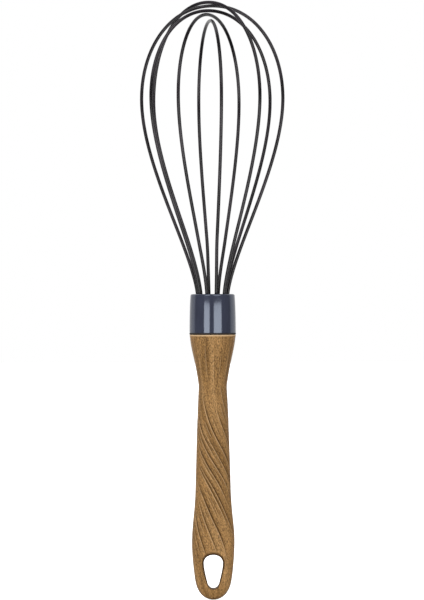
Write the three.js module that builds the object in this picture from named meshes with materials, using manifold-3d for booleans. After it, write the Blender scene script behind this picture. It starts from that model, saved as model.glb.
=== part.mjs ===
// A balloon whisk: five sprung wire loops, gripped in a collar, on a moulded wood-effect handle with a
// hanging eye.
//
// Millimetres. +Z runs from the butt of the handle, at the origin, up to the crown of the wires. X is the
// handle's width and Y its thickness. Heights in the head are measured from the top of the handle.

import * as THREE from "three";
import { mergeVertices } from "three/addons/utils/BufferGeometryUtils.js";
import Module from "manifold-3d";

const wasm = await Module();
wasm.setup();

// ---- Driving dimensions ----

const LENGTH = 300; // butt to crown

const HANDLE = {
  length: 132.8,
  topRadius: 11.55,
  lip: 0.5,
  neckRadius: 7.12,
  neckHeight: 107,
  waistRadius: 9,
  waistHeight: 54,
  buttWidth: 21.6, // the widest place, a little above the eye
  buttHeight: 28.7,
  heelRadius: 9, // half the width where the sides turn in to the rounded end
  heelHeight: 8.7,
  buttFlatness: 0.63, // thickness over width at the butt; from the neck up the handle is round
  buttSquareness: 2.6, // power of the butt's superellipse section; 2 is an ellipse
  flatThickness: 11.6, // across the two flats around the eye
  flatTop: 33,
};
const EYE = { bottom: 5.6, top: 22.7, width: 9.5, widestHeight: 18.3, footWidth: 5.7, footHeight: 8.1 };
const SOCKET = { radius: 4.5, depth: 28.9, pilotRadius: 1.95, pilotDepth: 44 };

const WIRE = {
  diameter: 1.7,
  pitchRadius: 7.4, // of the ten legs where they leave the collar
  hookHeight: 2.2,
  hookReach: 5, // how near the axis a hooked end comes
  bendRadius: 1.6,
  flareHeight: 16.9, // the legs are straight up to here
  twistHeight: 47.5, // a loop has all its twist from here up
  bellyRadius: 35.7,
  bellyHeight: 118.1,
};
// From the outside in. drop: how far a loop's crown lies under the outer one's. twist: how far its belly is
// sprung round from its legs, in degrees. lean: how far the whole bow is set over towards +X.
const LOOPS = [
  { drop: 0, twist: -1.7, lean: -3 },
  { drop: 1.75, twist: -3.4, lean: 0 },
  { drop: 4.2, twist: 1.3, lean: -0.4 },
  { drop: 6.2, twist: -3.2, lean: -1.4 },
  { drop: 9.3, twist: -4.8, lean: -1.1 },
];
const FIRST_TURN = THREE.MathUtils.degToRad(-40);
const LEG_PITCH = Math.PI / LOOPS.length; // every loop has two legs
const LEG_TURNS = Array.from({ length: 2 * LOOPS.length }, (_, i) => FIRST_TURN + i * LEG_PITCH);

const SEAL = { thickness: 0.8, innerRadius: 9.9, outerRadius: 11.7 };
const COLLAR = {
  baseRadius: 11.6,
  topRadius: 11.1,
  boreRadius: 9.8,
  mouthRadius: 9.3,
  top: 20.3,
  lip: 0.9,
  edge: 1.1, // how far the rounding at the top reaches
};
const DISC = { radius: 9.6, thickness: 1.8, holeRadius: 1.2 };
const HOLDER = { radius: 8.1, bottom: 3.4, grooveRadius: 1.08, tangRadius: 4.2, tangBottom: -28.6 };
const BAND = { innerRadius: 8.45, outerRadius: 9.05, bottom: 7.4, top: 13.4 };
const WASHER = { innerRadius: 4.5, outerRadius: 9.3, thickness: 1.2 };
const SCREW = { shankRadius: 1.75, tip: -40.5, seat: 13.3, headRadius: 3.4, headHeight: 2.4, clearance: 0.2 };

const ROUND = 48; // sides of a wide turned piece
const SMALL_ROUND = 20;
const WIRE_SIDES = 8;

// ---- Materials ----

function material(color, roughness, metalness = 0) {
  return new THREE.MeshStandardMaterial({ color, roughness, metalness });
}

const MATERIALS = {
  woodEffect: material("#a17b50", 0.6),
  slatePlastic: material("#474b5a", 0.22),
  coatedWire: material("#3a393c", 0.42, 0.1),
  blackPlastic: material("#26262a", 0.55),
  darkRubber: material("#1d1613", 0.8),
  steel: material("#b9babd", 0.3, 1),
};

// ---- Geometry helpers ----

const at = (x, y) => new THREE.Vector2(x, y);

function part(name, geometry, look) {
  const mesh = new THREE.Mesh(geometry, look);
  mesh.name = name;
  return mesh;
}

// A piece turned about Z from a closed outline of (radius, height).
function turned(outline, sides = ROUND, curveSegments = 4) {
  return new THREE.LatheGeometry(outline.getPoints(curveSegments), sides).rotateX(Math.PI / 2);
}

function ring(innerRadius, outerRadius, bottom, top) {
  const outline = new THREE.Path()
    .moveTo(innerRadius, bottom)
    .lineTo(outerRadius, bottom)
    .lineTo(outerRadius, top)
    .lineTo(innerRadius, top)
    .lineTo(innerRadius, bottom);
  return turned(outline);
}

// A plate of an XY shape, from height bottom to height top.
function plate(shape, bottom, top, curveSegments) {
  const options = { depth: top - bottom, bevelEnabled: false, curveSegments };
  return new THREE.ExtrudeGeometry(shape, options).translate(0, 0, bottom);
}

// A bar of a shape drawn in (X, Z), centred on Y.
function crossBar(shape, length, curveSegments) {
  return plate(shape, -length / 2, length / 2, curveSegments).rotateX(Math.PI / 2);
}

function solidOf(geometry) {
  const bare = new THREE.BufferGeometry().setAttribute("position", geometry.getAttribute("position"));
  const merged = mergeVertices(bare.setIndex(geometry.index), 1e-4);
  return new wasm.Manifold(
    new wasm.Mesh({
      numProp: 3,
      vertProperties: merged.getAttribute("position").array,
      triVerts: new Uint32Array(merged.index.array),
    }),
  );
}

function geometryOf(solid) {
  const mesh = solid.getMesh();
  const geometry = new THREE.BufferGeometry()
    .setAttribute("position", new THREE.BufferAttribute(mesh.vertProperties, 3))
    .setIndex(new THREE.BufferAttribute(mesh.triVerts, 1));
  geometry.computeVertexNormals();
  return geometry;
}

// ---- The handle ----

// Half the handle's width, drawn as (half width, height).
function handleOutline() {
  const { length, topRadius, lip, neckRadius, neckHeight, waistRadius, waistHeight } = HANDLE;
  const { buttHeight, heelRadius, heelHeight } = HANDLE;
  const half = HANDLE.buttWidth / 2;
  const underNeck = { radius: neckRadius + 0.06, height: neckHeight - 1.2 };
  const overNeck = { radius: neckRadius + 0.16, height: neckHeight + 1.2 };
  return new THREE.Path()
    .moveTo(0, 0)
    .bezierCurveTo(0.6, 0, heelRadius - 1.8, 0.1, heelRadius, heelHeight)
    .bezierCurveTo(heelRadius + 0.8, heelHeight + 3.9, half, buttHeight - 6.5, half, buttHeight)
    .bezierCurveTo(half, buttHeight + 8.6, waistRadius + 0.4, waistHeight - 10.7, waistRadius, waistHeight)
    .bezierCurveTo(
      waistRadius - 0.45, waistHeight + 16,
      neckRadius + 0.9, neckHeight - 16.3,
      underNeck.radius, underNeck.height,
    )
    .quadraticCurveTo(neckRadius, neckHeight, overNeck.radius, overNeck.height)
    .bezierCurveTo(
      neckRadius + 1.85, neckHeight + 13.8,
      topRadius - 0.75, length - 8.7,
      topRadius, length - lip,
    )
    .quadraticCurveTo(topRadius, length, topRadius - lip, length)
    .lineTo(0, length);
}

// The outline is turned round, then its sections are flattened and squared towards the butt.
function handleBlank() {
  const { buttHeight, neckHeight, buttFlatness, buttSquareness } = HANDLE;
  const geometry = turned(handleOutline(), 36, 7);
  const position = geometry.getAttribute("position");
  const point = new THREE.Vector3();
  for (let i = 0; i < position.count; i++) {
    point.fromBufferAttribute(position, i);
    const radius = Math.hypot(point.x, point.y);
    if (radius < 1e-6) continue;
    const roundness = THREE.MathUtils.smoothstep(point.z, buttHeight, neckHeight);
    const flatness = THREE.MathUtils.lerp(buttFlatness, 1, roundness);
    const power = 2 / THREE.MathUtils.lerp(buttSquareness, 2, roundness);
    const squared = (share) => Math.sign(share) * Math.abs(share) ** power;
    position.setXY(i, radius * squared(point.x / radius), radius * flatness * squared(point.y / radius));
  }
  return geometry;
}

// A wide arch at the top, and straight sides running in to a small round foot.
function eyeShape() {
  const { bottom, top, width, widestHeight, footWidth, footHeight } = EYE;
  const wide = width / 2;
  const foot = footWidth / 2;
  const arch = { corner: widestHeight + 2.8, shoulder: 0.6 * wide };
  const side = { start: footHeight + 2.4, end: widestHeight - 3 };
  return new THREE.Shape()
    .moveTo(0, bottom)
    .bezierCurveTo(0.48 * foot, bottom, 0.84 * foot, bottom + 1, foot, footHeight)
    .bezierCurveTo(0.72 * wide, side.start, wide, side.end, wide, widestHeight)
    .bezierCurveTo(wide, arch.corner, arch.shoulder, top, 0, top)
    .bezierCurveTo(-arch.shoulder, top, -wide, arch.corner, -wide, widestHeight)
    .bezierCurveTo(-wide, side.end, -0.72 * wide, side.start, -foot, footHeight)
    .bezierCurveTo(-0.84 * foot, bottom + 1, -0.48 * foot, bottom, 0, bottom);
}

// What is cut away to leave a flat on the +Y side of the butt, running out up the grip.
function flatTool() {
  const face = HANDLE.flatThickness / 2;
  const runOut = HANDLE.flatTop + 20;
  const shape = new THREE.Shape()
    .moveTo(face, -1)
    .lineTo(face + 12, -1)
    .lineTo(face + 12, runOut)
    .lineTo(face + 3, runOut)
    .lineTo(face, HANDLE.flatTop);
  return crossBar(shape, 2 * HANDLE.buttWidth, 1).rotateZ(Math.PI / 2);
}

// The bore for the wire holder's tang, and the pilot hole below it for the screw.
function socketTool() {
  const { radius, depth, pilotRadius, pilotDepth } = SOCKET;
  const { length } = HANDLE;
  const outline = new THREE.Path()
    .moveTo(0, length - pilotDepth)
    .lineTo(pilotRadius, length - pilotDepth)
    .lineTo(pilotRadius, length - depth)
    .lineTo(radius, length - depth)
    .lineTo(radius, length + 1)
    .lineTo(0, length + 1);
  return turned(outline, SMALL_ROUND);
}

function handle() {
  const eyeTool = crossBar(eyeShape(), HANDLE.buttWidth, 4);
  const tools = [socketTool(), eyeTool, flatTool(), flatTool().rotateZ(Math.PI)];
  const solid = tools.reduce((rest, tool) => rest.subtract(solidOf(tool)), solidOf(handleBlank()));
  return part("handle", geometryOf(solid), MATERIALS.woodEffect);
}

// ---- The wires ----

// Points up half a loop, as (distance from the axis, height): hooked end, bend, leg, flare, crown.
function halfLoop(crown) {
  const { pitchRadius, hookHeight, hookReach, bendRadius, flareHeight, bellyRadius, bellyHeight } = WIRE;
  const centre = at(pitchRadius - bendRadius, hookHeight + bendRadius);
  const bend = new THREE.EllipseCurve(centre.x, centre.y, bendRadius, bendRadius, -Math.PI / 2, 0);
  const belly = at(bellyRadius, bellyHeight);
  const flare = new THREE.CubicBezierCurve(
    at(pitchRadius, flareHeight),
    at(pitchRadius, flareHeight + 21),
    at(bellyRadius, bellyHeight - 34.7),
    belly,
  );
  const bow = new THREE.CubicBezierCurve(
    belly,
    at(bellyRadius, bellyHeight + 0.545 * (crown - bellyHeight)),
    at(0.606 * bellyRadius, crown),
    at(0, crown),
  );
  const hookEnd = at(hookReach, hookHeight);
  return [hookEnd, ...bend.getPoints(3), ...flare.getPoints(13), ...bow.getPoints(10).slice(1)];
}

// A curve that takes one step from each of its points to the next, so that a tight bend keeps its share.
class PointedCurve extends THREE.CatmullRomCurve3 {
  getPointAt(u, target) {
    return this.getPoint(u, target);
  }
  getTangentAt(u, target) {
    return this.getTangent(u, target);
  }
}

// A loop in its own frame, where its legs stand on the X axis; turn is the way that frame faces.
function loopCurve({ drop, twist, lean }, turn) {
  const half = halfLoop(LENGTH - HANDLE.length - WIRE.diameter / 2 - drop);
  const sprung = (point, side) => {
    const shareBy = (height) => THREE.MathUtils.smoothstep(point.y, WIRE.flareHeight, height);
    const angle = THREE.MathUtils.degToRad(twist) * shareBy(WIRE.twistHeight);
    const shift = lean * shareBy(WIRE.bellyHeight);
    return new THREE.Vector3(
      side * point.x * Math.cos(angle) + shift * Math.cos(turn),
      side * point.x * Math.sin(angle) - shift * Math.sin(turn),
      point.y,
    );
  };
  const near = half.map((point) => sprung(point, 1));
  const far = half.slice(0, -1).map((point) => sprung(point, -1));
  return new PointedCurve([...near, ...far.reverse()]);
}

function wireLoops() {
  const section = new THREE.Shape().absarc(0, 0, WIRE.diameter / 2, 0, 2 * Math.PI);
  return LOOPS.map((loop, i) => {
    const extrudePath = loopCurve(loop, LEG_TURNS[i]);
    const options = { extrudePath, steps: extrudePath.points.length - 1, curveSegments: WIRE_SIDES / 2 };
    const geometry = new THREE.ExtrudeGeometry(section, options);
    const mesh = part(`wire_loop_${i + 1}`, geometry, MATERIALS.coatedWire);
    mesh.rotation.z = LEG_TURNS[i];
    return mesh;
  });
}

// ---- The head: what grips the wires and joins them to the handle ----

const legPlaces = LEG_TURNS.map((turn) => at(WIRE.pitchRadius, 0).rotateAround(at(0, 0), turn));
const discTop = COLLAR.top - COLLAR.lip;
const discBottom = discTop - DISC.thickness;

function sealRing() {
  const { thickness, innerRadius, outerRadius } = SEAL;
  const outline = new THREE.Path()
    .moveTo(innerRadius, 0)
    .lineTo(outerRadius - 0.2, 0)
    .quadraticCurveTo(outerRadius + 0.2, thickness / 2, outerRadius - 0.2, thickness)
    .lineTo(innerRadius, thickness)
    .lineTo(innerRadius, 0);
  return part("seal_ring", turned(outline), MATERIALS.darkRubber);
}

function collar() {
  const { baseRadius, topRadius, boreRadius, mouthRadius, top, edge } = COLLAR;
  const outline = new THREE.Path()
    .moveTo(boreRadius, SEAL.thickness)
    .lineTo(baseRadius, SEAL.thickness)
    .quadraticCurveTo(baseRadius - 0.03, top - 7, topRadius, top - edge)
    .quadraticCurveTo(topRadius, top, topRadius - edge, top)
    .lineTo(mouthRadius, top)
    .lineTo(mouthRadius, discTop)
    .lineTo(boreRadius, discTop)
    .lineTo(boreRadius, SEAL.thickness);
  return part("collar", turned(outline), MATERIALS.slatePlastic);
}

function guideDisc() {
  const shape = new THREE.Shape().absarc(0, 0, DISC.radius, 0, 2 * Math.PI);
  shape.holes = legPlaces.map(({ x, y }) => new THREE.Path().absarc(x, y, DISC.holeRadius, 0, 2 * Math.PI));
  return part("guide_disc", plate(shape, discBottom, discTop, 7), MATERIALS.blackPlastic);
}

// A round bar with an open groove for each leg. The tang below it fills the handle's socket.
function wireHolder() {
  const { radius, bottom, grooveRadius, tangRadius, tangBottom } = HOLDER;
  const opening = Math.asin(grooveRadius / radius);
  const shape = new THREE.Shape();
  legPlaces.forEach(({ x, y }, i) => {
    const turn = LEG_TURNS[i];
    shape.absarc(x, y, grooveRadius, turn - Math.PI / 2, turn + Math.PI / 2, true);
    shape.absarc(0, 0, radius, turn + opening, turn + LEG_PITCH - opening, false);
  });
  const tang = new THREE.Shape().absarc(0, 0, tangRadius, 0, 2 * Math.PI);
  return part(
    "wire_holder",
    geometryOf(
      solidOf(plate(shape, bottom, discBottom, 4))
        .add(solidOf(plate(tang, tangBottom, bottom + 1, SMALL_ROUND / 2)))
        .subtract(solidOf(screwBoreTool())),
    ),
    MATERIALS.blackPlastic,
  );
}

// The wire holder's own bore: it clears the screw's shank, and seats its head.
function screwBoreTool() {
  const { shankRadius, seat, headRadius, clearance } = SCREW;
  const bottom = HOLDER.tangBottom - 1;
  const outline = new THREE.Path()
    .moveTo(0, bottom)
    .lineTo(shankRadius + clearance, bottom)
    .lineTo(shankRadius + clearance, seat)
    .lineTo(headRadius + clearance, seat)
    .lineTo(headRadius + clearance, discTop)
    .lineTo(0, discTop);
  return turned(outline, SMALL_ROUND);
}

function anchorScrew() {
  const { shankRadius, tip, seat, headRadius, headHeight } = SCREW;
  const outline = new THREE.Path()
    .moveTo(0, tip)
    .lineTo(shankRadius, tip + 4)
    .lineTo(shankRadius, seat)
    .lineTo(headRadius, seat)
    .lineTo(headRadius, seat + 0.8)
    .quadraticCurveTo(0.8 * headRadius, seat + headHeight, 0, seat + headHeight);
  return part("anchor_screw", turned(outline, SMALL_ROUND), MATERIALS.steel);
}

function head() {
  const group = new THREE.Group();
  group.position.z = HANDLE.length;
  group.add(
    sealRing(),
    part("lock_washer", ring(WASHER.innerRadius, WASHER.outerRadius, 0, WASHER.thickness), MATERIALS.steel),
    wireHolder(),
    anchorScrew(),
    part("crimp_band", ring(BAND.innerRadius, BAND.outerRadius, BAND.bottom, BAND.top), MATERIALS.steel),
    guideDisc(),
    collar(),
    ...wireLoops(),
  );
  return group;
}

const whisk = new THREE.Group();
whisk.add(handle(), head());

export default whisk;
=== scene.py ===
"""Looks for the balloon whisk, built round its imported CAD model.

Lengths are in metres. +Z runs from the butt of the handle to the crown of the wires, and the camera looks
along +Y.
"""

import math

import bpy
import numpy as np
from mathutils import Matrix, Vector


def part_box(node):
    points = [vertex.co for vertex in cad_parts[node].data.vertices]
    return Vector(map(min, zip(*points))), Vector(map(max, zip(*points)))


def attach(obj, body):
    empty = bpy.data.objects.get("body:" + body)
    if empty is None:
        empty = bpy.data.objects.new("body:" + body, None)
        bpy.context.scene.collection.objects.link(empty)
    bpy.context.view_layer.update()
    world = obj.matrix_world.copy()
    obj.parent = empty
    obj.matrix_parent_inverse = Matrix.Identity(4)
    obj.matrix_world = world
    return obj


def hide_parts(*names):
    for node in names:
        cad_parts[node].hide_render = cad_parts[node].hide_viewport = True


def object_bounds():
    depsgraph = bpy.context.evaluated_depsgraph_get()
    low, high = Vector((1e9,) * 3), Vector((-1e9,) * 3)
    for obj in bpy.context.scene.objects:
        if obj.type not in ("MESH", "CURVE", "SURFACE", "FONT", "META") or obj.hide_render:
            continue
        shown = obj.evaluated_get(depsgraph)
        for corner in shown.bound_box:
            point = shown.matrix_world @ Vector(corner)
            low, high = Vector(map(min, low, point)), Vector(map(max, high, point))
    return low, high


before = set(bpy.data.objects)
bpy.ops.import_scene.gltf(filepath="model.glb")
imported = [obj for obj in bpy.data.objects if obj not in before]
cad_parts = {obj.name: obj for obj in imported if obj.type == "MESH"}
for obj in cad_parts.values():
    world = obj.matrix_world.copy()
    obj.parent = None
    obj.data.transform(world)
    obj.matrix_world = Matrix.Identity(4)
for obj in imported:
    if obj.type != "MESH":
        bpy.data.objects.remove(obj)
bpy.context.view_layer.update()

MM = 0.001
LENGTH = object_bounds()[1].z / MM

# ---- Driving dimensions, in millimetres, as the CAD model has them ----

HANDLE_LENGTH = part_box("handle")[1].z / MM
COLLAR_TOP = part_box("collar")[1].z / MM
NECK_RADIUS = 7.12
NECK_HEIGHT = 107
WAIST_RADIUS = 9
WAIST_HEIGHT = 54
HANDLE_TOP_RADIUS = 11.55
HANDLE_LIP = 0.5
HEEL_RADIUS = 9
HEEL_HEIGHT = 8.7
BUTT_HEIGHT = 28.7
BUTT_HALF_WIDTH = 10.8
BUTT_FLATNESS = 0.63
BUTT_SQUARENESS = 2.6
FLAT_HALF_THICKNESS = 5.8
FLAT_TOP = 33
SOCKET_RADIUS = 4.5
SOCKET_DEPTH = 28.9
PILOT_RADIUS = 1.95
PILOT_DEPTH = 44
EYE_BOTTOM = 5.6
EYE_TOP = 22.7
EYE_WIDEST_HEIGHT = 18.3
EYE_HALF_WIDTH = 4.75
EYE_FOOT_HEIGHT = 8.1
EYE_FOOT_HALF_WIDTH = 2.85

WIRE_RADIUS = 0.85
PITCH_RADIUS = 7.4
HOOK_HEIGHT = HANDLE_LENGTH + 2.2
HOOK_REACH = 5
BEND_RADIUS = 1.6
FLARE_HEIGHT = HANDLE_LENGTH + 16.9
TWIST_HEIGHT = HANDLE_LENGTH + 47.5
BELLY_HEIGHT = HANDLE_LENGTH + 118.1
BELLY_RADIUS = 35.67
# How far the side's curve keeps its direction, above the flare and below the belly.
FLARE_REACH = 21
BELLY_REACH = 34.7
# From the outside in: how far the crown lies under the outer loop's, the belly's twist in degrees, and how
# far the bow leans towards +X.
LOOPS = ((0, -1.7, -3), (1.75, -3.4, 0), (4.2, 1.3, -0.4), (6.2, -3.2, -1.4), (9.3, -4.8, -1.1))
FIRST_TURN = math.radians(-40)
LEG_PITCH = math.pi / len(LOOPS)

SEAL_THICKNESS = 0.8
SEAL_RADII = (9.9, 11.7)
COLLAR_RADII = {"base": 11.6, "top": 11.1, "bore": 9.8, "mouth": 9.3}
COLLAR_LIP = 0.9
DISC_RADIUS = 9.6
DISC_THICKNESS = 1.8
DISC_HOLE_RADIUS = 1.2

# ---- Fineness of the meshes ----

HANDLE_COLUMNS = 360
WIRE_SIDES = 24
CREASE_ANGLE = math.radians(35)
HANDLE_CREASE_ANGLE = math.radians(50)


# ---- Curves and meshes ----

def smoothstep(value, low, high):
    """0 below low, 1 above high, and a smooth step between them."""
    share = np.clip((value - low) / (high - low), 0, 1)
    return share * share * (3 - 2 * share)


def bezier(points, steps):
    """steps + 1 points along the Bezier curve of any degree that these control points give."""
    level = np.array(points, float)[:, None, :]
    share = np.linspace(0, 1, steps + 1)[None, :, None]
    while len(level) > 1:
        level = level[:-1] * (1 - share) + level[1:] * share
    return level[0]


def arc(centre, radius, start, end, steps):
    """Points on a circle's arc, with its angles in degrees."""
    turn = np.radians(np.linspace(start, end, steps + 1))
    return np.column_stack((centre[0] + radius * np.cos(turn), centre[1] + radius * np.sin(turn)))


def joined(*stretches):
    """One line from stretches that meet end to end."""
    return np.vstack([stretches[0], *(stretch[1:] for stretch in stretches[1:])])


def linked(name, data):
    """A new object of this mesh, light or camera, in the scene."""
    made = bpy.data.objects.new(name, data)
    bpy.context.scene.collection.objects.link(made)
    return made


def new_object(name, points, faces):
    """A smooth-shaded mesh object from points in millimetres, with creases where its faces turn sharply."""
    mesh = bpy.data.meshes.new(name)
    mesh.from_pydata((np.asarray(points) * MM).tolist(), [], faces)
    mesh.validate()
    mesh.shade_smooth()
    mesh.set_sharp_from_angle(angle=CREASE_ANGLE)
    return linked(name, mesh)


def grid_faces(rows, columns, closed_rows):
    """Quads between successive rows of points. Every row is a closed ring.

    closed_rows also joins the last row to the first.
    """
    faces = []
    for row in range(rows if closed_rows else rows - 1):
        here = row * columns
        there = (row + 1) % rows * columns
        for column in range(columns):
            beside = (column + 1) % columns
            faces.append((here + column, here + beside, there + beside, there + column))
    return faces


def turned(name, outline, segments=160):
    """A piece turned about Z from a closed outline of (radius, height), listed with the solid on its left."""
    turn = np.linspace(0, 2 * math.pi, segments, endpoint=False)
    rings = []
    for radius, height in outline:
        level = np.full(segments, height)
        rings.append(np.column_stack((radius * np.cos(turn), radius * np.sin(turn), level)))
    return new_object(name, np.vstack(rings), grid_faces(len(rings), segments, True))


def tube(name, path, radius):
    """A round bar along a path, with a small chamfer at each of its two ends."""
    path = np.asarray(path)
    along = np.gradient(path, axis=0)
    along /= np.linalg.norm(along, axis=1)[:, None]
    side = np.cross(along[0], (0.3, 0.5, 0.1))
    edge = 0.2 * radius
    rings = []
    for i, (centre, ahead) in enumerate(zip(path, along)):
        side = side - ahead * side.dot(ahead)
        side /= np.linalg.norm(side)
        up = np.cross(ahead, side)
        turn = np.linspace(0, 2 * math.pi, WIRE_SIDES, endpoint=False)[:, None]
        spoke = side * np.cos(turn) + up * np.sin(turn)
        if i == 0:
            rings.append(centre + (radius - edge) * spoke)
            rings.append(centre + radius * spoke + edge * ahead)
        elif i == len(path) - 1:
            rings.append(centre + radius * spoke - edge * ahead)
            rings.append(centre + (radius - edge) * spoke)
        else:
            rings.append(centre + radius * spoke)
    faces = grid_faces(len(rings), WIRE_SIDES, False)
    last = (len(rings) - 1) * WIRE_SIDES
    faces.append(tuple(reversed(range(WIRE_SIDES))))
    faces.append(tuple(range(last, last + WIRE_SIDES)))
    return new_object(name, np.vstack(rings), faces)


# ---- Materials ----

def material(name):
    """A new node material, and its Principled shader."""
    made = bpy.data.materials.new(name)
    made.use_nodes = True
    return made, made.node_tree.nodes["Principled BSDF"]


def node(tree, kind, inputs=(), **settings):
    """A new node with its settings and input values. An input that is a socket is linked."""
    made = tree.nodes.new(kind)
    for name, value in settings.items():
        setattr(made, name, value)
    for name, value in dict(inputs).items():
        if isinstance(value, bpy.types.NodeSocket):
            tree.links.new(value, made.inputs[name])
        else:
            made.inputs[name].default_value = value
    return made


def noise(tree, vector, scale, detail, roughness=0.55):
    """Noise between 0 and 1, with scale cells per millimetre."""
    inputs = {"Vector": vector, "Scale": scale, "Detail": detail, "Roughness": roughness}
    return node(tree, "ShaderNodeTexNoise", inputs).outputs["Fac"]


def stretched(tree, vector, scale):
    """The same coordinates, scaled differently along each axis."""
    return node(tree, "ShaderNodeMapping", {"Vector": vector, "Scale": scale}).outputs["Vector"]


def ranged(tree, value, low, high, to_low, to_high):
    """The value carried over from low...high to to_low...to_high, and held at its ends."""
    inputs = {"Value": value, "From Min": low, "From Max": high, "To Min": to_low, "To Max": to_high}
    return node(tree, "ShaderNodeMapRange", inputs).outputs["Result"]


def ramp(tree, value, *stops):
    """Colours along a ramp, from (place, (r, g, b)) stops."""
    made = node(tree, "ShaderNodeValToRGB", {"Fac": value})
    elements = made.color_ramp.elements
    while len(elements) < len(stops):
        elements.new(0.5)
    for element, (place, colour) in zip(elements, stops):
        element.position = place
        element.color = (*colour, 1)
    return made.outputs["Color"]


def mixed(tree, factor, first, second, blend="MIX"):
    """The first colour where the factor is 0, and the second where it is 1."""
    made = node(tree, "ShaderNodeMix", data_type="RGBA", blend_type=blend)
    for index, value in ((0, factor), (6, first), (7, second)):
        if isinstance(value, bpy.types.NodeSocket):
            tree.links.new(value, made.inputs[index])
        elif index:
            made.inputs[index].default_value = (*value, 1)
        else:
            made.inputs[index].default_value = value
    return made.outputs[2]


def bumped(tree, height, distance, strength):
    """A normal that shows this height as relief."""
    inputs = {"Height": height, "Distance": distance, "Strength": strength}
    return node(tree, "ShaderNodeBump", inputs).outputs["Normal"]


def stored(tree, name):
    """A value that carve_grain stored on the handle."""
    return node(tree, "ShaderNodeAttribute", attribute_name=name).outputs["Fac"]


def summed(tree, first, second):
    return node(tree, "ShaderNodeMath", {0: first, 1: second}, operation="ADD").outputs["Value"]


def object_place(tree):
    """Places on the object, in millimetres."""
    place = node(tree, "ShaderNodeTexCoord").outputs["Object"]
    return stretched(tree, place, (1 / MM, 1 / MM, 1 / MM))


def wood_effect():
    """Moulded wood effect: streaks and pores along the grain, and the painted shade and painted highlights of
    carve_grain.
    """
    made, shader = material("wood_effect")
    tree = made.node_tree
    grain = node(tree, "ShaderNodeAttribute", attribute_name="grain").outputs["Vector"]
    bands = noise(tree, stretched(tree, grain, (1, 1, 0.08)), 0.34, 2.0)
    streaks = noise(tree, stretched(tree, grain, (1, 1, 0.06)), 1.1, 4.0, 0.65)
    pores = noise(tree, stretched(tree, grain, (1, 1, 0.4)), 2.6, 2.0, 0.5)
    dark_tan = (0.36, (0.16, 0.084, 0.026))
    middle_tan = (0.48, (0.208, 0.112, 0.038))
    light_tan = (0.64, (0.232, 0.13, 0.048))
    body = ramp(tree, bands, dark_tan, middle_tan, light_tan)
    streaked = mixed(tree, ranged(tree, streaks, 0.34, 0.46, 0.4, 0), body, (0.085, 0.038, 0.011))
    speckle = ranged(tree, pores, 0.3, 0.7, 0.36, 1.64)
    channels = {"Red": speckle, "Green": speckle, "Blue": speckle}
    grey = node(tree, "ShaderNodeCombineColor", channels).outputs["Color"]
    speckled = mixed(tree, 1.0, streaked, grey, "MULTIPLY")
    # Painted highlights: pale tan on the grooves' ledges and on the lip under the seal.
    with_painted_highlights = mixed(tree, stored(tree, "painted_highlight"), speckled, (0.46, 0.31, 0.17))
    # Painted shade: near black in and beside the grooves, on the eye's rim and under the butt. It also sets
    # the roughness.
    painted_shade = stored(tree, "painted_shade")
    colour = mixed(tree, painted_shade, with_painted_highlights, (0.03, 0.013, 0.003))
    tree.links.new(colour, shader.inputs["Base Color"])
    tree.links.new(ranged(tree, painted_shade, 0, 0.5, 0.6, 0.95), shader.inputs["Roughness"])
    tree.links.new(bumped(tree, summed(tree, streaks, pores), 0.12 * MM, 0.6), shader.inputs["Normal"])
    shader.inputs["Specular IOR Level"].default_value = 0.14
    shader.inputs["Sheen Weight"].default_value = 0.45
    shader.inputs["Sheen Roughness"].default_value = 0.25
    shader.inputs["Sheen Tint"].default_value = (1, 0.86, 0.76, 1)
    return made


def slate_plastic():
    """Glossy slate-grey plastic with a faint moulding flow and fine handling marks."""
    made, shader = material("slate_plastic")
    tree = made.node_tree
    place = object_place(tree)
    flow = noise(tree, stretched(tree, place, (1, 1, 0.25)), 0.3, 2.0)
    colour = ramp(tree, flow, (0.3, (0.026, 0.029, 0.047)), (0.7, (0.031, 0.035, 0.056)))
    tree.links.new(colour, shader.inputs["Base Color"])
    marks = noise(tree, stretched(tree, place, (1, 1, 0.15)), 3.5, 4.0, 0.7)
    tree.links.new(ranged(tree, marks, 0.3, 0.75, 0.07, 0.15), shader.inputs["Roughness"])
    tree.links.new(bumped(tree, flow, 0.02 * MM, 0.25), shader.inputs["Normal"])
    shader.inputs["IOR"].default_value = 1.8
    shader.inputs["Specular Tint"].default_value = (0.76, 0.85, 1, 1)
    return made


def coated_wire():
    """A thin dark coating on steel wire: satin, with a slight orange peel, and a painted shadow towards the
    collar.
    """
    made, shader = material("coated_wire")
    tree = made.node_tree
    place = object_place(tree)
    patches = noise(tree, place, 0.06, 2.0)
    colour = ramp(tree, patches, (0.35, (0.006, 0.005, 0.0062)), (0.65, (0.023, 0.0195, 0.0235)))
    height = node(tree, "ShaderNodeSeparateXYZ", {"Vector": place}).outputs["Z"]
    # Painted shadow: the wire is darker over the 16 mm above the collar.
    painted_collar_shadow = ranged(tree, height, COLLAR_TOP, COLLAR_TOP + 16, 0.8, 0)
    tree.links.new(mixed(tree, painted_collar_shadow, colour, (0.0015, 0.0012, 0.0015)), shader.inputs["Base Color"])
    peel = noise(tree, place, 3.2, 2.0)
    tree.links.new(ranged(tree, peel, 0.3, 0.7, 0.17, 0.22), shader.inputs["Roughness"])
    tree.links.new(bumped(tree, peel, 0.002 * MM, 0.3), shader.inputs["Normal"])
    shader.inputs["Specular IOR Level"].default_value = 0.3
    return made


def plain_moulding(name, dark, light, roughness, grain_scale):
    """A matte moulded material with a fine grain, for plastic or rubber."""
    made, shader = material(name)
    tree = made.node_tree
    texture = noise(tree, object_place(tree), grain_scale, 4.0, 0.6)
    tree.links.new(ramp(tree, texture, (0.3, dark), (0.7, light)), shader.inputs["Base Color"])
    spread = ranged(tree, texture, 0.3, 0.7, roughness + 0.06, roughness - 0.06)
    tree.links.new(spread, shader.inputs["Roughness"])
    tree.links.new(bumped(tree, texture, 0.03 * MM, 0.5), shader.inputs["Normal"])
    return made


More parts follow.
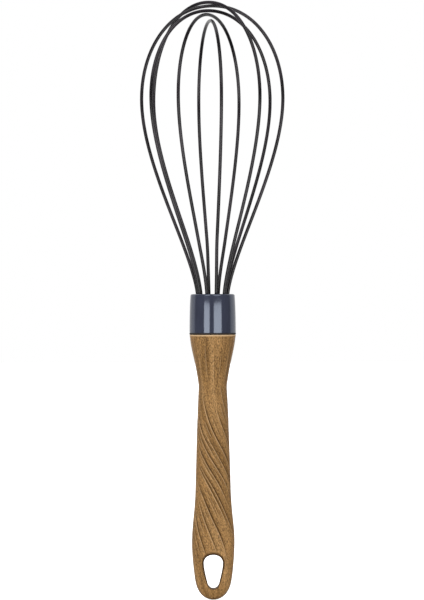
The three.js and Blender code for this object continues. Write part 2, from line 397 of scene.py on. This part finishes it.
def steel():
    """Plain steel with fine turning marks round its axis."""
    made, shader = material("steel")
    tree = made.node_tree
    marks = noise(tree, stretched(tree, object_place(tree), (0.2, 0.2, 4)), 2.0, 4.0, 0.6)
    colour = ramp(tree, marks, (0.3, (0.42, 0.42, 0.43)), (0.7, (0.6, 0.6, 0.61)))
    tree.links.new(colour, shader.inputs["Base Color"])
    tree.links.new(ranged(tree, marks, 0.3, 0.7, 0.4, 0.24), shader.inputs["Roughness"])
    tree.links.new(bumped(tree, marks, 0.01 * MM, 0.5), shader.inputs["Normal"])
    shader.inputs["Metallic"].default_value = 1
    return made


def dress(piece, look, slot, *replaced):
    """Gives a new piece its material and body, and lets it stand for its CAD node. The slot is not used."""
    piece.data.materials.append(look)
    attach(piece, "root")
    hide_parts(*replaced)


# ---- The handle ----

MIDDLE_OF_GRIP = 60
# Heights up the handle, and how fast the grain turns there, in degrees per millimetre. The top's is straight.
GRAIN_RATES = ((0, 0.6), (20, 1.5), (30, 2), (45, 2.9), (62, 4.1), (80, 4), (90, 2.7), (104, 1.1), (113, 0))


def grain_turn(height):
    """How far round the grain has turned at a height, in degrees, counted from the middle of the grip."""
    heights = np.linspace(0, HANDLE_LENGTH, 800)
    rate = np.interp(heights, *zip(*GRAIN_RATES))
    so_far = np.concatenate(([0], np.cumsum((rate[1:] + rate[:-1]) / 2 * np.diff(heights))))
    return np.interp(MIDDLE_OF_GRIP, heights, so_far) - np.interp(height, heights, so_far)


# Grooves along the grain: where each would cross the middle of the grip, in degrees round it, the heights it
# runs between, and its weight. Straight ahead is 0, and +X is 90.
GRIP_GROOVES = (
    (182, 108, 90, 0.7), (166, 99, 88, 0.5), (145, 96, 75, 0.8), (120, 92, 83, 0.4),
    (100, 104, 63, 1), (87, 90, 81, 0.7), (72, 80, 70, 0.35), (56, 80, 66, 0.4),
    (40, 88, 48, 0.9), (27, 66, 56, 0.35), (13, 81, 46, 0.9), (3, 72, 58, 0.5),
    (-13, 69, 27, 1), (-24, 71, 36, 0.9), (-38, 56, 40, 0.4), (-46, 52, 42, 0.5),
    (-63, 63, 19, 1), (-75, 52, 36, 0.4), (-88, 52, 22, 0.9), (-103, 44, 30, 0.35),
    (-121, 48, 21, 0.9), (-137, 42, 23, 0.6), (-150, 36, 18, 0.4), (-166, 44, 20, 0.7),
    (-184, 56, 24, 0.9), (-200, 64, 38, 0.5), (-214, 50, 20, 0.7), (-232, 62, 30, 0.9),
    (-243, 72, 44, 0.4), (-258, 80, 52, 0.9), (-272, 60, 34, 0.6), (-290, 86, 50, 0.8),
    (-304, 98, 72, 0.9), (-318, 76, 52, 0.5), (-334, 102, 76, 0.7), (-348, 92, 62, 0.5),
    (208, 104, 80, 0.8), (230, 108, 92, 0.6), (252, 106, 84, 0.8), (276, 108, 94, 0.5),
    (300, 104, 86, 0.7), (325, 107, 91, 0.6),
)
FLARE_GROOVES = (
    (174, 124, 112, 0.7), (205, 130, 108, 1), (221, 118, 109, 0.5), (240, 131, 112, 0.8),
    (262, 126, 110, 0.7), (283, 130, 114, 0.9), (306, 122, 109, 0.6), (329, 131, 111, 0.9),
    (351, 127, 113, 0.7), (372, 130, 109, 0.8), (396, 124, 110, 0.6), (420, 131, 112, 0.9),
    (443, 128, 109, 0.7), (466, 126, 113, 0.5), (489, 130, 110, 0.8), (513, 123, 108, 0.6),
)
GROOVE_WIDTH = 0.36
# Depth of a groove of weight 1, on the grip and on the flare, and how dark the flare's painted shade is
# beside the grip's.
GRIP_CUT = 0.24
FLARE_CUT = 0.07
FLARE_SHADE = 0.55
# Place, width and share of a groove's raised ledge, which carries a painted highlight, and of the painted
# shade beside it, with the place and the width in widths of the groove. At the front, the ledge is on the
# left.
LEDGE = (-1.7, 0.6, 0.3)
SOFT_SHADE = (1.9, 1.7, 0.3)
# The whole skin lies this far under the plain one, which makes room for the ledges and the waves.
SKIN_MARGIN = 0.08
HIGHEST_LEDGE = 0.05
# The cylinder on which the grain's noise is laid.
GRAIN_RADIUS = 8.5


def bump(across, place, width):
    """1 at the place, and falling smoothly to 0 on both sides of it."""
    return np.exp(-((across - place) / width) ** 2)


def groove_depth(turn, height, radius):
    """Groove depth in millimetres, their painted shade and their ledges' painted highlights, at a turn along
    the grain.
    """
    ledge_place, ledge_width, ledge_share = LEDGE
    shade_place, shade_width, shade_share = SOFT_SHADE
    depth = np.zeros_like(turn)
    shade = np.zeros_like(turn)
    light = np.zeros_like(turn)
    for grooves, cut, darkness in ((GRIP_GROOVES, GRIP_CUT, 1), (FLARE_GROOVES, FLARE_CUT, FLARE_SHADE)):
        for i, (place, top, bottom, weight) in enumerate(grooves):
            wander = 0.9 * np.sin(height / (4.5 + i % 4) + 1.7 * i)
            across = (turn - place - wander + 180) % 360 - 180
            across = np.radians(across) * radius / GROOVE_WIDTH
            middle = (top + bottom) / 2
            reach = np.clip(1 - (np.abs(height - middle) / ((top - bottom) / 2)) ** 3, 0, 1)
            line = weight * reach * bump(across, 0, 1)
            ledge = weight * reach * bump(across, ledge_place, ledge_width)
            depth += cut * (line - ledge_share * ledge)
            # Painted shade in the groove and in a soft band beside it, and a painted highlight on the ledge.
            beside = shade_share * weight * reach * bump(across, shade_place, shade_width)
            shade = np.maximum(shade, darkness * np.maximum(line, beside))
            light = np.maximum(light, darkness * ledge)
    return depth, shade, light


def handle_outline():
    """The handle's half width, from the butt up to the rim of its socket, as (half width, height)."""
    wide = BUTT_HALF_WIDTH
    heel = (HEEL_RADIUS, HEEL_HEIGHT)
    butt = (wide, BUTT_HEIGHT)
    waist = (WAIST_RADIUS, WAIST_HEIGHT)
    under_neck = (NECK_RADIUS + 0.06, NECK_HEIGHT - 1.2)
    over_neck = (NECK_RADIUS + 0.16, NECK_HEIGHT + 1.2)
    under_lip = (HANDLE_TOP_RADIUS, HANDLE_LENGTH - HANDLE_LIP)
    rim = (HANDLE_TOP_RADIUS - HANDLE_LIP, HANDLE_LENGTH)
    foot = ((0, 0), (0.6, 0), (HEEL_RADIUS - 1.8, 0.1), heel)
    side = (heel, (HEEL_RADIUS + 0.8, HEEL_HEIGHT + 3.9), (wide, BUTT_HEIGHT - 6.5), butt)
    swell = (butt, (wide, BUTT_HEIGHT + 8.6), (WAIST_RADIUS + 0.4, WAIST_HEIGHT - 10.7), waist)
    over_waist = (WAIST_RADIUS - 0.45, WAIST_HEIGHT + 16)
    swell_end = (NECK_RADIUS + 0.9, NECK_HEIGHT - 16.3)
    grip = (waist, over_waist, swell_end, under_neck)
    neck = (under_neck, (NECK_RADIUS, NECK_HEIGHT), over_neck)
    flare_low = (NECK_RADIUS + 1.85, NECK_HEIGHT + 13.8)
    flare_high = (HANDLE_TOP_RADIUS - 0.75, HANDLE_LENGTH - 8.7)
    return joined(
        bezier(foot, 44),
        bezier(side, 44),
        bezier(swell, 56),
        bezier(grip, 112),
        bezier(neck, 6),
        bezier((over_neck, flare_low, flare_high, under_lip), 52),
        bezier((under_lip, (HANDLE_TOP_RADIUS, HANDLE_LENGTH), rim), 6),
    )


def section(half_width, height, turn):
    """A point of the handle's skin: round above the neck, and a flattened, squared oval at the butt."""
    roundness = smoothstep(height, BUTT_HEIGHT, NECK_HEIGHT)
    flatness = BUTT_FLATNESS + (1 - BUTT_FLATNESS) * roundness
    power = BUTT_SQUARENESS + (2 - BUTT_SQUARENESS) * roundness
    reach = np.abs(np.sin(turn))
    thickness = half_width * flatness * np.clip(1 - reach ** power, 0, 1) ** (1 / power)
    limit = FLAT_HALF_THICKNESS + 0.15 * np.maximum(height - FLAT_TOP, 0)
    softness = 0.8
    share = np.clip(0.5 + 0.5 * (limit - thickness) / softness, 0, 1)
    thickness = limit + (thickness - limit) * share - softness * share * (1 - share)
    return half_width * np.sin(turn), -np.sign(np.cos(turn)) * np.maximum(thickness, 0)


def handle_body():
    """The whole handle but for its eye, as rings of points in columns that follow the grain."""
    columns = HANDLE_COLUMNS
    share = np.radians(np.arange(columns) * 360 / columns)
    points = []
    for half_width, height in handle_outline()[1:]:
        turn = share + math.radians(grain_turn(height))
        x, y = section(half_width, height, turn)
        points.append(np.column_stack((x, y, np.full(columns, height))))
    turn = share + math.radians(grain_turn(HANDLE_LENGTH))
    socket = (
        (SOCKET_RADIUS, HANDLE_LENGTH),
        (SOCKET_RADIUS, HANDLE_LENGTH - SOCKET_DEPTH),
        (PILOT_RADIUS, HANDLE_LENGTH - SOCKET_DEPTH),
        (PILOT_RADIUS, HANDLE_LENGTH - PILOT_DEPTH),
    )
    for radius, height in socket:
        level = np.full(columns, height)
        points.append(np.column_stack((radius * np.sin(turn), -radius * np.cos(turn), level)))
    rings = len(points)
    faces = grid_faces(rings, columns, False)
    butt = rings * columns
    end = butt + 1
    last = (rings - 1) * columns
    for column in range(columns):
        beside = (column + 1) % columns
        faces.append((butt, beside, column))
        faces.append((end, last + column, last + beside))
    points.append(np.array([[0, 0, 0], [0, 0, HANDLE_LENGTH - PILOT_DEPTH]]))
    return new_object("handle_shell", np.vstack(points), faces)


def eye_outline():
    """The hanging eye as (x, z): a wide arch, and straight sides running in to a small round foot."""
    wide = EYE_HALF_WIDTH
    foot = EYE_FOOT_HALF_WIDTH
    right = joined(
        bezier((
            (0, EYE_BOTTOM),
            (0.48 * foot, EYE_BOTTOM),
            (0.84 * foot, EYE_BOTTOM + 1),
            (foot, EYE_FOOT_HEIGHT),
        ), 12),
        bezier((
            (foot, EYE_FOOT_HEIGHT),
            (0.72 * wide, EYE_FOOT_HEIGHT + 2.4),
            (wide, EYE_WIDEST_HEIGHT - 3),
            (wide, EYE_WIDEST_HEIGHT),
        ), 16),
        bezier((
            (wide, EYE_WIDEST_HEIGHT),
            (wide, EYE_WIDEST_HEIGHT + 2.8),
            (0.6 * wide, EYE_TOP),
            (0, EYE_TOP),
        ), 20),
    )
    left = right[-2:0:-1] * (-1, 1)
    return np.vstack([right, left])


def eye_tool():
    """What is cut away for the eye: a bar of its outline, with a little draft and with rounded rims."""
    outline = eye_outline()
    ahead = np.roll(outline, -1, axis=0) - np.roll(outline, 1, axis=0)
    outward = np.column_stack((ahead[:, 1], -ahead[:, 0]))
    outward /= np.linalg.norm(outward, axis=1)[:, None]
    rim = 1.0
    draft = 0.05
    under_flat = 0.2
    flare = 1.5
    overhang = 3
    rounding = np.radians(np.arange(0, 76, 15))
    start = FLAT_HALF_THICKNESS - under_flat - rim
    half = [(0, 0)]
    for angle in rounding:
        half.append((start + rim * math.sin(angle), draft + rim * (1 - math.cos(angle))))
    slope = (math.cos(rounding[-1]), math.sin(rounding[-1]))
    half.append((half[-1][0] + flare * slope[0], half[-1][1] + flare * slope[1]))
    half.append((half[-1][0] + overhang, half[-1][1]))
    profile = [(-depth, spread) for depth, spread in half[:0:-1]] + half
    rings = []
    for depth, spread in profile:
        place = outline + spread * outward
        rings.append(np.column_stack((place[:, 0], np.full(len(place), depth), place[:, 1])))
    count = len(outline)
    faces = [tuple(reversed(face)) for face in grid_faces(len(rings), count, False)]
    last = (len(rings) - 1) * count
    faces.append(tuple(range(count)))
    faces.append(tuple(reversed(range(last, last + count))))
    return new_object("eye_tool", np.vstack(rings), faces)


def cut_away(piece, tool):
    """Cuts the tool out of the piece, and removes the tool."""
    modifier = piece.modifiers.new("cut", "BOOLEAN")
    modifier.operation = "DIFFERENCE"
    modifier.solver = "EXACT"
    modifier.object = tool
    evaluated = piece.evaluated_get(bpy.context.evaluated_depsgraph_get())
    mesh = bpy.data.meshes.new_from_object(evaluated)
    piece.modifiers.clear()
    piece.data = mesh
    bpy.data.objects.remove(tool)


def skin_at(place):
    """The turn of each point about the handle, the half width there, and how far it lies under the skin."""
    outline = handle_outline()
    order = np.argsort(outline[:, 1], kind="stable")
    half_width = np.interp(place[:, 2], outline[order, 1], outline[order, 0])
    turn = np.arcsin(np.clip(place[:, 0] / np.maximum(half_width, 1e-6), -1, 1))
    turn = np.where(place[:, 1] > 0, math.pi - turn, turn)
    skin_y = np.abs(section(half_width, place[:, 2], turn)[1])
    return turn, half_width, skin_y - np.abs(place[:, 1])


def store(mesh, name, values):
    """Keeps a number or a vector for each vertex, which the material reads."""
    kind, field = ("FLOAT_VECTOR", "vector") if values.ndim == 2 else ("FLOAT", "value")
    layer = mesh.attributes.new(name, kind, "POINT")
    layer.data.foreach_set(field, values.astype(np.float32).ravel())


def carve_grain(piece):
    """Presses the grooves and the grain's soft waves into the skin, and stores what the material needs."""
    mesh = piece.data
    count = len(mesh.vertices)
    place = np.empty(3 * count)
    normal = np.empty(3 * count)
    mesh.vertices.foreach_get("co", place)
    mesh.vertex_normals.foreach_get("vector", normal)
    place = place.reshape(-1, 3) / MM
    normal = normal.reshape(-1, 3)
    height = place[:, 2]
    turn, half_width, below_skin = skin_at(place)
    along = np.degrees(turn) - grain_turn(height)
    depth, shade, ledge = groove_depth(along, height, half_width)
    under_rim = 1 - smoothstep(height, HANDLE_LENGTH - 1.2, HANDLE_LENGTH - 0.6)
    on_skin = (1 - smoothstep(below_skin, 0.05, 0.4)) * under_rim * smoothstep(height, 1, 6)
    flow = np.radians(along)
    waves = 0.02 * np.sin(7 * flow + 0.11 * height) + 0.015 * np.sin(11 * flow - 0.17 * height + 1.3)
    waves *= smoothstep(height, 2, 12) * (1 - smoothstep(height, 108, 116))
    pressed = (np.maximum(depth, -HIGHEST_LEDGE) + waves + SKIN_MARGIN) * on_skin
    moved = place - normal * pressed[:, None]
    mesh.vertices.foreach_set("co", (moved * MM).ravel())

    # Painted shade: in the grooves, on the eye's rim, fading towards the middle of its wall, and on the
    # underside.
    painted_eye_shade = smoothstep(below_skin, 0.01, 0.06) * (height < EYE_TOP + 2)
    painted_eye_shade *= 1 - 0.7 * smoothstep(below_skin, 1, 2.5)
    painted_underside_shade = 1 - smoothstep(height, 0.2, 1.6)
    dark = np.maximum(np.maximum(shade * on_skin, 0.9 * painted_eye_shade), 0.6 * painted_underside_shade)
    # Painted highlights: on the grooves' ledges and on the lip under the seal.
    at_edge = np.hypot(place[:, 0], place[:, 1]) > HANDLE_TOP_RADIUS - 0.6
    lip = (height > HANDLE_LENGTH - 0.9) * at_edge
    light = np.maximum(0.55 * ledge * on_skin, 0.9 * lip)
    store(mesh, "grain", np.column_stack((GRAIN_RADIUS * np.cos(flow), GRAIN_RADIUS * np.sin(flow), height)))
    store(mesh, "painted_shade", dark)
    store(mesh, "painted_highlight", light)
    mesh.update()


def make_handle():
    """The moulded handle, with its eye, its socket and its wood effect."""
    handle = handle_body()
    cut_away(handle, eye_tool())
    carve_grain(handle)
    handle.data.shade_smooth()
    handle.data.set_sharp_from_angle(angle=HANDLE_CREASE_ANGLE)
    dress(handle, wood_effect(), "handle", "handle")


# ---- The head ----

def half_loop(crown):
    """Points up half a loop, as (distance from the axis, height): hooked end, bend, leg, flare, crown."""
    belly = (BELLY_RADIUS, BELLY_HEIGHT)
    bend_centre = (PITCH_RADIUS - BEND_RADIUS, HOOK_HEIGHT + BEND_RADIUS)
    return joined(
        bezier(((HOOK_REACH, HOOK_HEIGHT), (bend_centre[0], HOOK_HEIGHT)), 3),
        arc(bend_centre, BEND_RADIUS, -90, 0, 10),
        bezier(((PITCH_RADIUS, bend_centre[1]), (PITCH_RADIUS, FLARE_HEIGHT)), 8),
        bezier((
            (PITCH_RADIUS, FLARE_HEIGHT),
            (PITCH_RADIUS, FLARE_HEIGHT + FLARE_REACH),
            (BELLY_RADIUS, BELLY_HEIGHT - BELLY_REACH),
            belly,
        ), 56),
        bezier((
            belly,
            (BELLY_RADIUS, BELLY_HEIGHT + 0.545 * (crown - BELLY_HEIGHT)),
            (0.606 * BELLY_RADIUS, crown),
            (0, crown),
        ), 48),
    )


def loop_path(drop, twist, lean, turn):
    """The centre line of a whole loop, whose first leg stands at this turn about Z."""
    half = half_loop(LENGTH - WIRE_RADIUS - drop)
    radius, height = half.T
    angle = turn + math.radians(twist) * smoothstep(height, FLARE_HEIGHT, TWIST_HEIGHT)
    shift = lean * smoothstep(height, FLARE_HEIGHT, BELLY_HEIGHT)
    near = np.column_stack((radius * np.cos(angle) + shift, radius * np.sin(angle), height))
    far = np.column_stack((-radius * np.cos(angle) + shift, -radius * np.sin(angle), height))
    return np.vstack([near, far[-2::-1]])


def make_wires():
    """The five loops of coated wire, the outermost first."""
    look = coated_wire()
    for i, loop in enumerate(LOOPS):
        path = loop_path(*loop, FIRST_TURN + i * LEG_PITCH)
        wire = tube(f"whisk_wire_{i + 1}", path, WIRE_RADIUS)
        dress(wire, look, "wire", f"wire_loop_{i + 1}")


def make_collar():
    """The tapered shell round the roots of the wires, with a rounded top edge and a lip over the disc."""
    base, top, bore, mouth = (COLLAR_RADII[name] for name in ("base", "top", "bore", "mouth"))
    bottom = HANDLE_LENGTH + SEAL_THICKNESS
    edge = 1.1
    foot = 0.2
    chamfer = 0.15
    side_top = (top, COLLAR_TOP - edge)
    lip = COLLAR_TOP - COLLAR_LIP
    outline = joined(
        np.array([(bore, bottom), (base - foot, bottom)]),
        arc((base - foot, bottom + foot), foot, -90, 0, 4),
        bezier(((base, bottom + foot), (base - 0.03, COLLAR_TOP - 7), side_top), 16),
        bezier((side_top, (top, COLLAR_TOP), (top - edge, COLLAR_TOP)), 8),
        np.array([(top - edge, COLLAR_TOP), (mouth + chamfer, COLLAR_TOP), (mouth, COLLAR_TOP - chamfer)]),
        np.array([(mouth, COLLAR_TOP - chamfer), (mouth, lip), (bore, lip)]),
    )
    dress(turned("collar_shell", outline, 192), slate_plastic(), "collar", "collar")


def make_seal():
    """The thin rubber ring between the handle and the collar, which bulges a little."""
    inner, outer = SEAL_RADII
    low = HANDLE_LENGTH
    high = low + SEAL_THICKNESS
    middle = (low + high) / 2
    bulge = 0.2
    outline = joined(
        np.array([(inner, low), (outer - bulge, low)]),
        bezier(((outer - bulge, low), (outer + bulge, middle), (outer - bulge, high)), 8),
        np.array([(outer - bulge, high), (inner, high)]),
    )
    look = plain_moulding("dark_rubber", (0.012, 0.007, 0.005), (0.022, 0.014, 0.01), 0.75, 2.5)
    dress(turned("seal_band", outline), look, "seal", "seal_ring")


def make_guide_disc(look):
    """The plate in the collar's mouth, with a rounded hole for each leg."""
    curve = bpy.data.curves.new("guide_plate", "CURVE")
    curve.dimensions = "2D"
    curve.fill_mode = "BOTH"
    bevel = 0.15
    curve.extrude = (DISC_THICKNESS / 2 - bevel) * MM
    curve.bevel_depth = bevel * MM
    curve.bevel_resolution = 2
    legs = [FIRST_TURN + i * LEG_PITCH for i in range(2 * len(LOOPS))]
    circles = [(0, 0, DISC_RADIUS - bevel, 96)]
    for leg in legs:
        x = PITCH_RADIUS * math.cos(leg)
        y = PITCH_RADIUS * math.sin(leg)
        circles.append((x, y, DISC_HOLE_RADIUS + bevel, 32))
    for x, y, radius, sides in circles:
        spline = curve.splines.new("POLY")
        spline.points.add(sides - 1)
        spline.use_cyclic_u = True
        turn = np.linspace(0, 2 * math.pi, sides, endpoint=False)
        across = (x + radius * np.cos(turn)) * MM
        along = (y + radius * np.sin(turn)) * MM
        places = np.column_stack((across, along, np.zeros(sides), np.ones(sides)))
        spline.points.foreach_set("co", places.ravel())
    source = bpy.data.objects.new("guide_plate_curve", curve)
    mesh = bpy.data.meshes.new_from_object(source)
    bpy.data.objects.remove(source)
    middle = COLLAR_TOP - COLLAR_LIP - DISC_THICKNESS / 2
    mesh.transform(Matrix.Translation((0, 0, middle * MM)))
    mesh.shade_smooth()
    mesh.set_sharp_from_angle(angle=CREASE_ANGLE)
    dress(linked("guide_plate", mesh), look, "inner_plastic", "guide_disc")


def dress_inner_pieces(black):
    """Materials for the CAD pieces that stay as they are, inside the collar and the handle."""
    bright = steel()
    looks = {"wire_holder": black, "anchor_screw": bright, "crimp_band": bright, "lock_washer": bright}
    for name, look in looks.items():
        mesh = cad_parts[name].data
        mesh.materials.clear()
        mesh.materials.append(look)


# ---- The studio ----

# Soft lights on the camera's side: name, turn from the camera's axis, width, low edge and high edge in
# degrees, and radiance. The low pair makes the collar's two upright highlights, and the high pair lights the
# whisk from above.
SOFTBOXES = (
    ("softbox_left", -29.5, 28, -40, 5, 3.9),
    ("softbox_right", 25.5, 39, -40, 5, 3.8),
    ("softbox_top_left", -29.5, 28, 20, 62, 2.6),
    ("softbox_top_right", 25.5, 39, 20, 62, 2.6),
)
SOFTBOX_DISTANCE = 1.2


def softbox(name, turn, width, low, high, radiance):
    """A flat panel of light, which stands upright and faces the whisk's axis."""
    distance = SOFTBOX_DISTANCE
    data = bpy.data.lights.new(name, "AREA")
    data.shape = "RECTANGLE"
    data.size = 2 * distance * math.tan(math.radians(width / 2))
    bottom = distance * math.tan(math.radians(low))
    top = distance * math.tan(math.radians(high))
    data.size_y = top - bottom
    data.energy = radiance * math.pi * data.size * data.size_y
    light = linked(name, data)
    angle = math.radians(turn)
    height = COLLAR_TOP * MM + (top + bottom) / 2
    light.location = (distance * math.sin(angle), -distance * math.cos(angle), height)
    outward = Vector((light.location.x, light.location.y, 0))
    light.rotation_euler = outward.to_track_quat("Z", "Y").to_euler()
    light.visible_camera = False


def make_world():
    """White to the camera, and a soft fill as light, which is dim from below and stronger from the left.

    In reflections it's dim on the camera's side and pale behind the whisk.
    """
    world = bpy.data.worlds.new("studio")
    bpy.context.scene.world = world
    world.use_nodes = True
    tree = world.node_tree
    tree.nodes.clear()
    direction = node(tree, "ShaderNodeTexCoord").outputs["Generated"]
    across, depth, height = node(tree, "ShaderNodeSeparateXYZ", {"Vector": direction}).outputs
    reflected = ranged(tree, depth, 0.1, 0.3, 0.12, 0.8)
    above = ranged(tree, height, -0.7, 0.1, 0.2, 0.78)
    left = ranged(tree, across, -0.6, 0.6, 0.3, -0.2)
    sideways = node(tree, "ShaderNodeMath", {0: across}, operation="ABSOLUTE").outputs["Value"]
    sides = ranged(tree, sideways, 0.5, 0.9, 0, 0.55)
    fill = summed(tree, summed(tree, above, left), sides)
    ray = node(tree, "ShaderNodeLightPath").outputs
    light = node(tree, "ShaderNodeMix", {0: ray["Is Glossy Ray"], 2: fill, 3: reflected}).outputs[0]
    strength = node(tree, "ShaderNodeMix", {0: ray["Is Camera Ray"], 2: light, 3: 1.0}).outputs[0]
    background = node(tree, "ShaderNodeBackground", {"Color": (1, 1, 1, 1), "Strength": strength})
    output = node(tree, "ShaderNodeOutputWorld")
    tree.links.new(background.outputs["Background"], output.inputs["Surface"])


def make_floor():
    """A plain pale floor, which neither lights the whisk nor shows in its reflections."""
    reach = 6.0
    mesh = bpy.data.meshes.new("floor")
    corners = [(-reach, -reach, 0), (reach, -reach, 0), (reach, reach, 0), (-reach, reach, 0)]
    mesh.from_pydata(corners, [], [(0, 1, 2, 3)])
    floor = linked("floor", mesh)
    made, shader = material("pale_floor")
    shader.inputs["Base Color"].default_value = (0.8, 0.8, 0.8, 1)
    shader.inputs["Roughness"].default_value = 0.9
    shader.inputs["Emission Color"].default_value = (1, 1, 1, 1)
    shader.inputs["Emission Strength"].default_value = 0.85
    mesh.materials.append(made)
    floor.visible_diffuse = False
    floor.visible_glossy = False


def make_camera():
    """A long lens, straight in front of the whisk, which fills the picture's height."""
    distance = 1.6
    view_height = 0.30048
    middle = 0.1501
    shift = -0.0003
    roll = math.radians(0.16)
    data = bpy.data.cameras.new("camera")
    data.sensor_width = 36
    data.lens = data.sensor_width * distance / view_height
    camera = linked("camera", data)
    camera.location = (shift, -distance, middle)
    camera.rotation_euler = (math.radians(90), roll, 0)
    bpy.context.scene.camera = camera


def main():
    bpy.context.scene.view_settings.view_transform = "Standard"
    make_camera()
    make_world()
    make_floor()
    for box in SOFTBOXES:
        softbox(*box)
    black = plain_moulding("black_plastic", (0.012, 0.012, 0.014), (0.024, 0.024, 0.027), 0.5, 1.5)
    make_handle()
    make_seal()
    make_collar()
    make_guide_disc(black)
    make_wires()
    dress_inner_pieces(black)


main()
